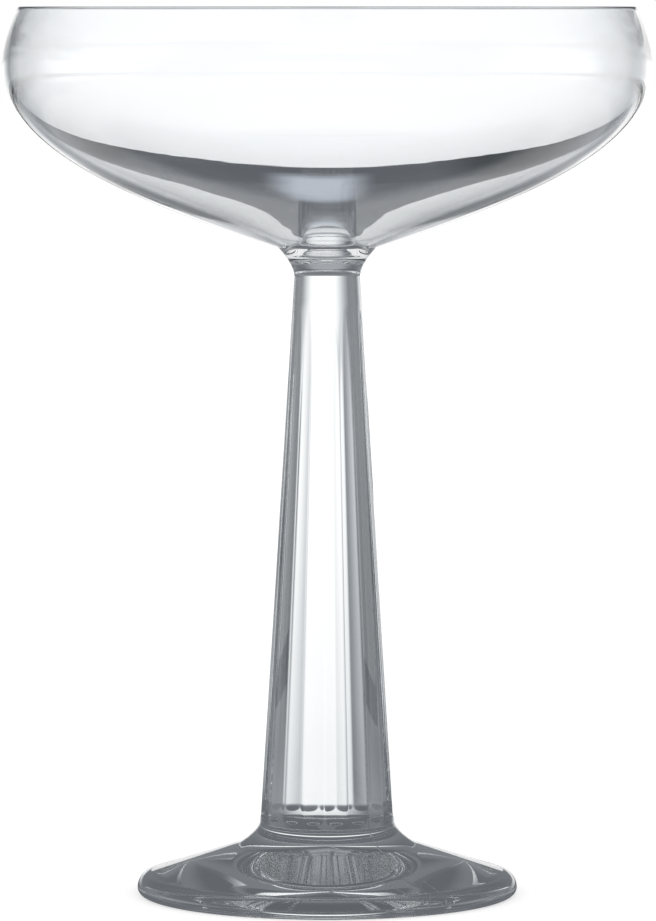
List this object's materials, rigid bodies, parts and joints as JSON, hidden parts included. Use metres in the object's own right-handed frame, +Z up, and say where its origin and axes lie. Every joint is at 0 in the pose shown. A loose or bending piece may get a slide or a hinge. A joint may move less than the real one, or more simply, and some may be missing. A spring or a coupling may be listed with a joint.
{
  "type": "coupe glass",
  "caption": "Clear stemmed coupe glass with a wide, shallow bowl, a short flared collar, a tapering fluted stem and a round sloping foot.",
  "frame": {"origin": "centre of the foot, on the plane that the glass stands on", "axes": "+Z up along the stem, the axis of the glass; +X to the right in the picture and +Y away from its camera"},
  "size_m": [0.112, 0.112, 0.1539],
  "materials": {
    "bowl_glass": "clear soda-lime glass, fire polished",
    "collar_glass": "clear soda-lime glass, fire polished",
    "stem_glass": "clear pressed soda-lime glass, fire polished",
    "foot_glass": "clear pressed soda-lime glass, fire polished"
  },
  "bodies": {
    "root": {"bowl": "bowl_glass", "neck_collar": "collar_glass", "stem": "stem_glass", "foot": "foot_glass"}
  },
  "joints": []
}
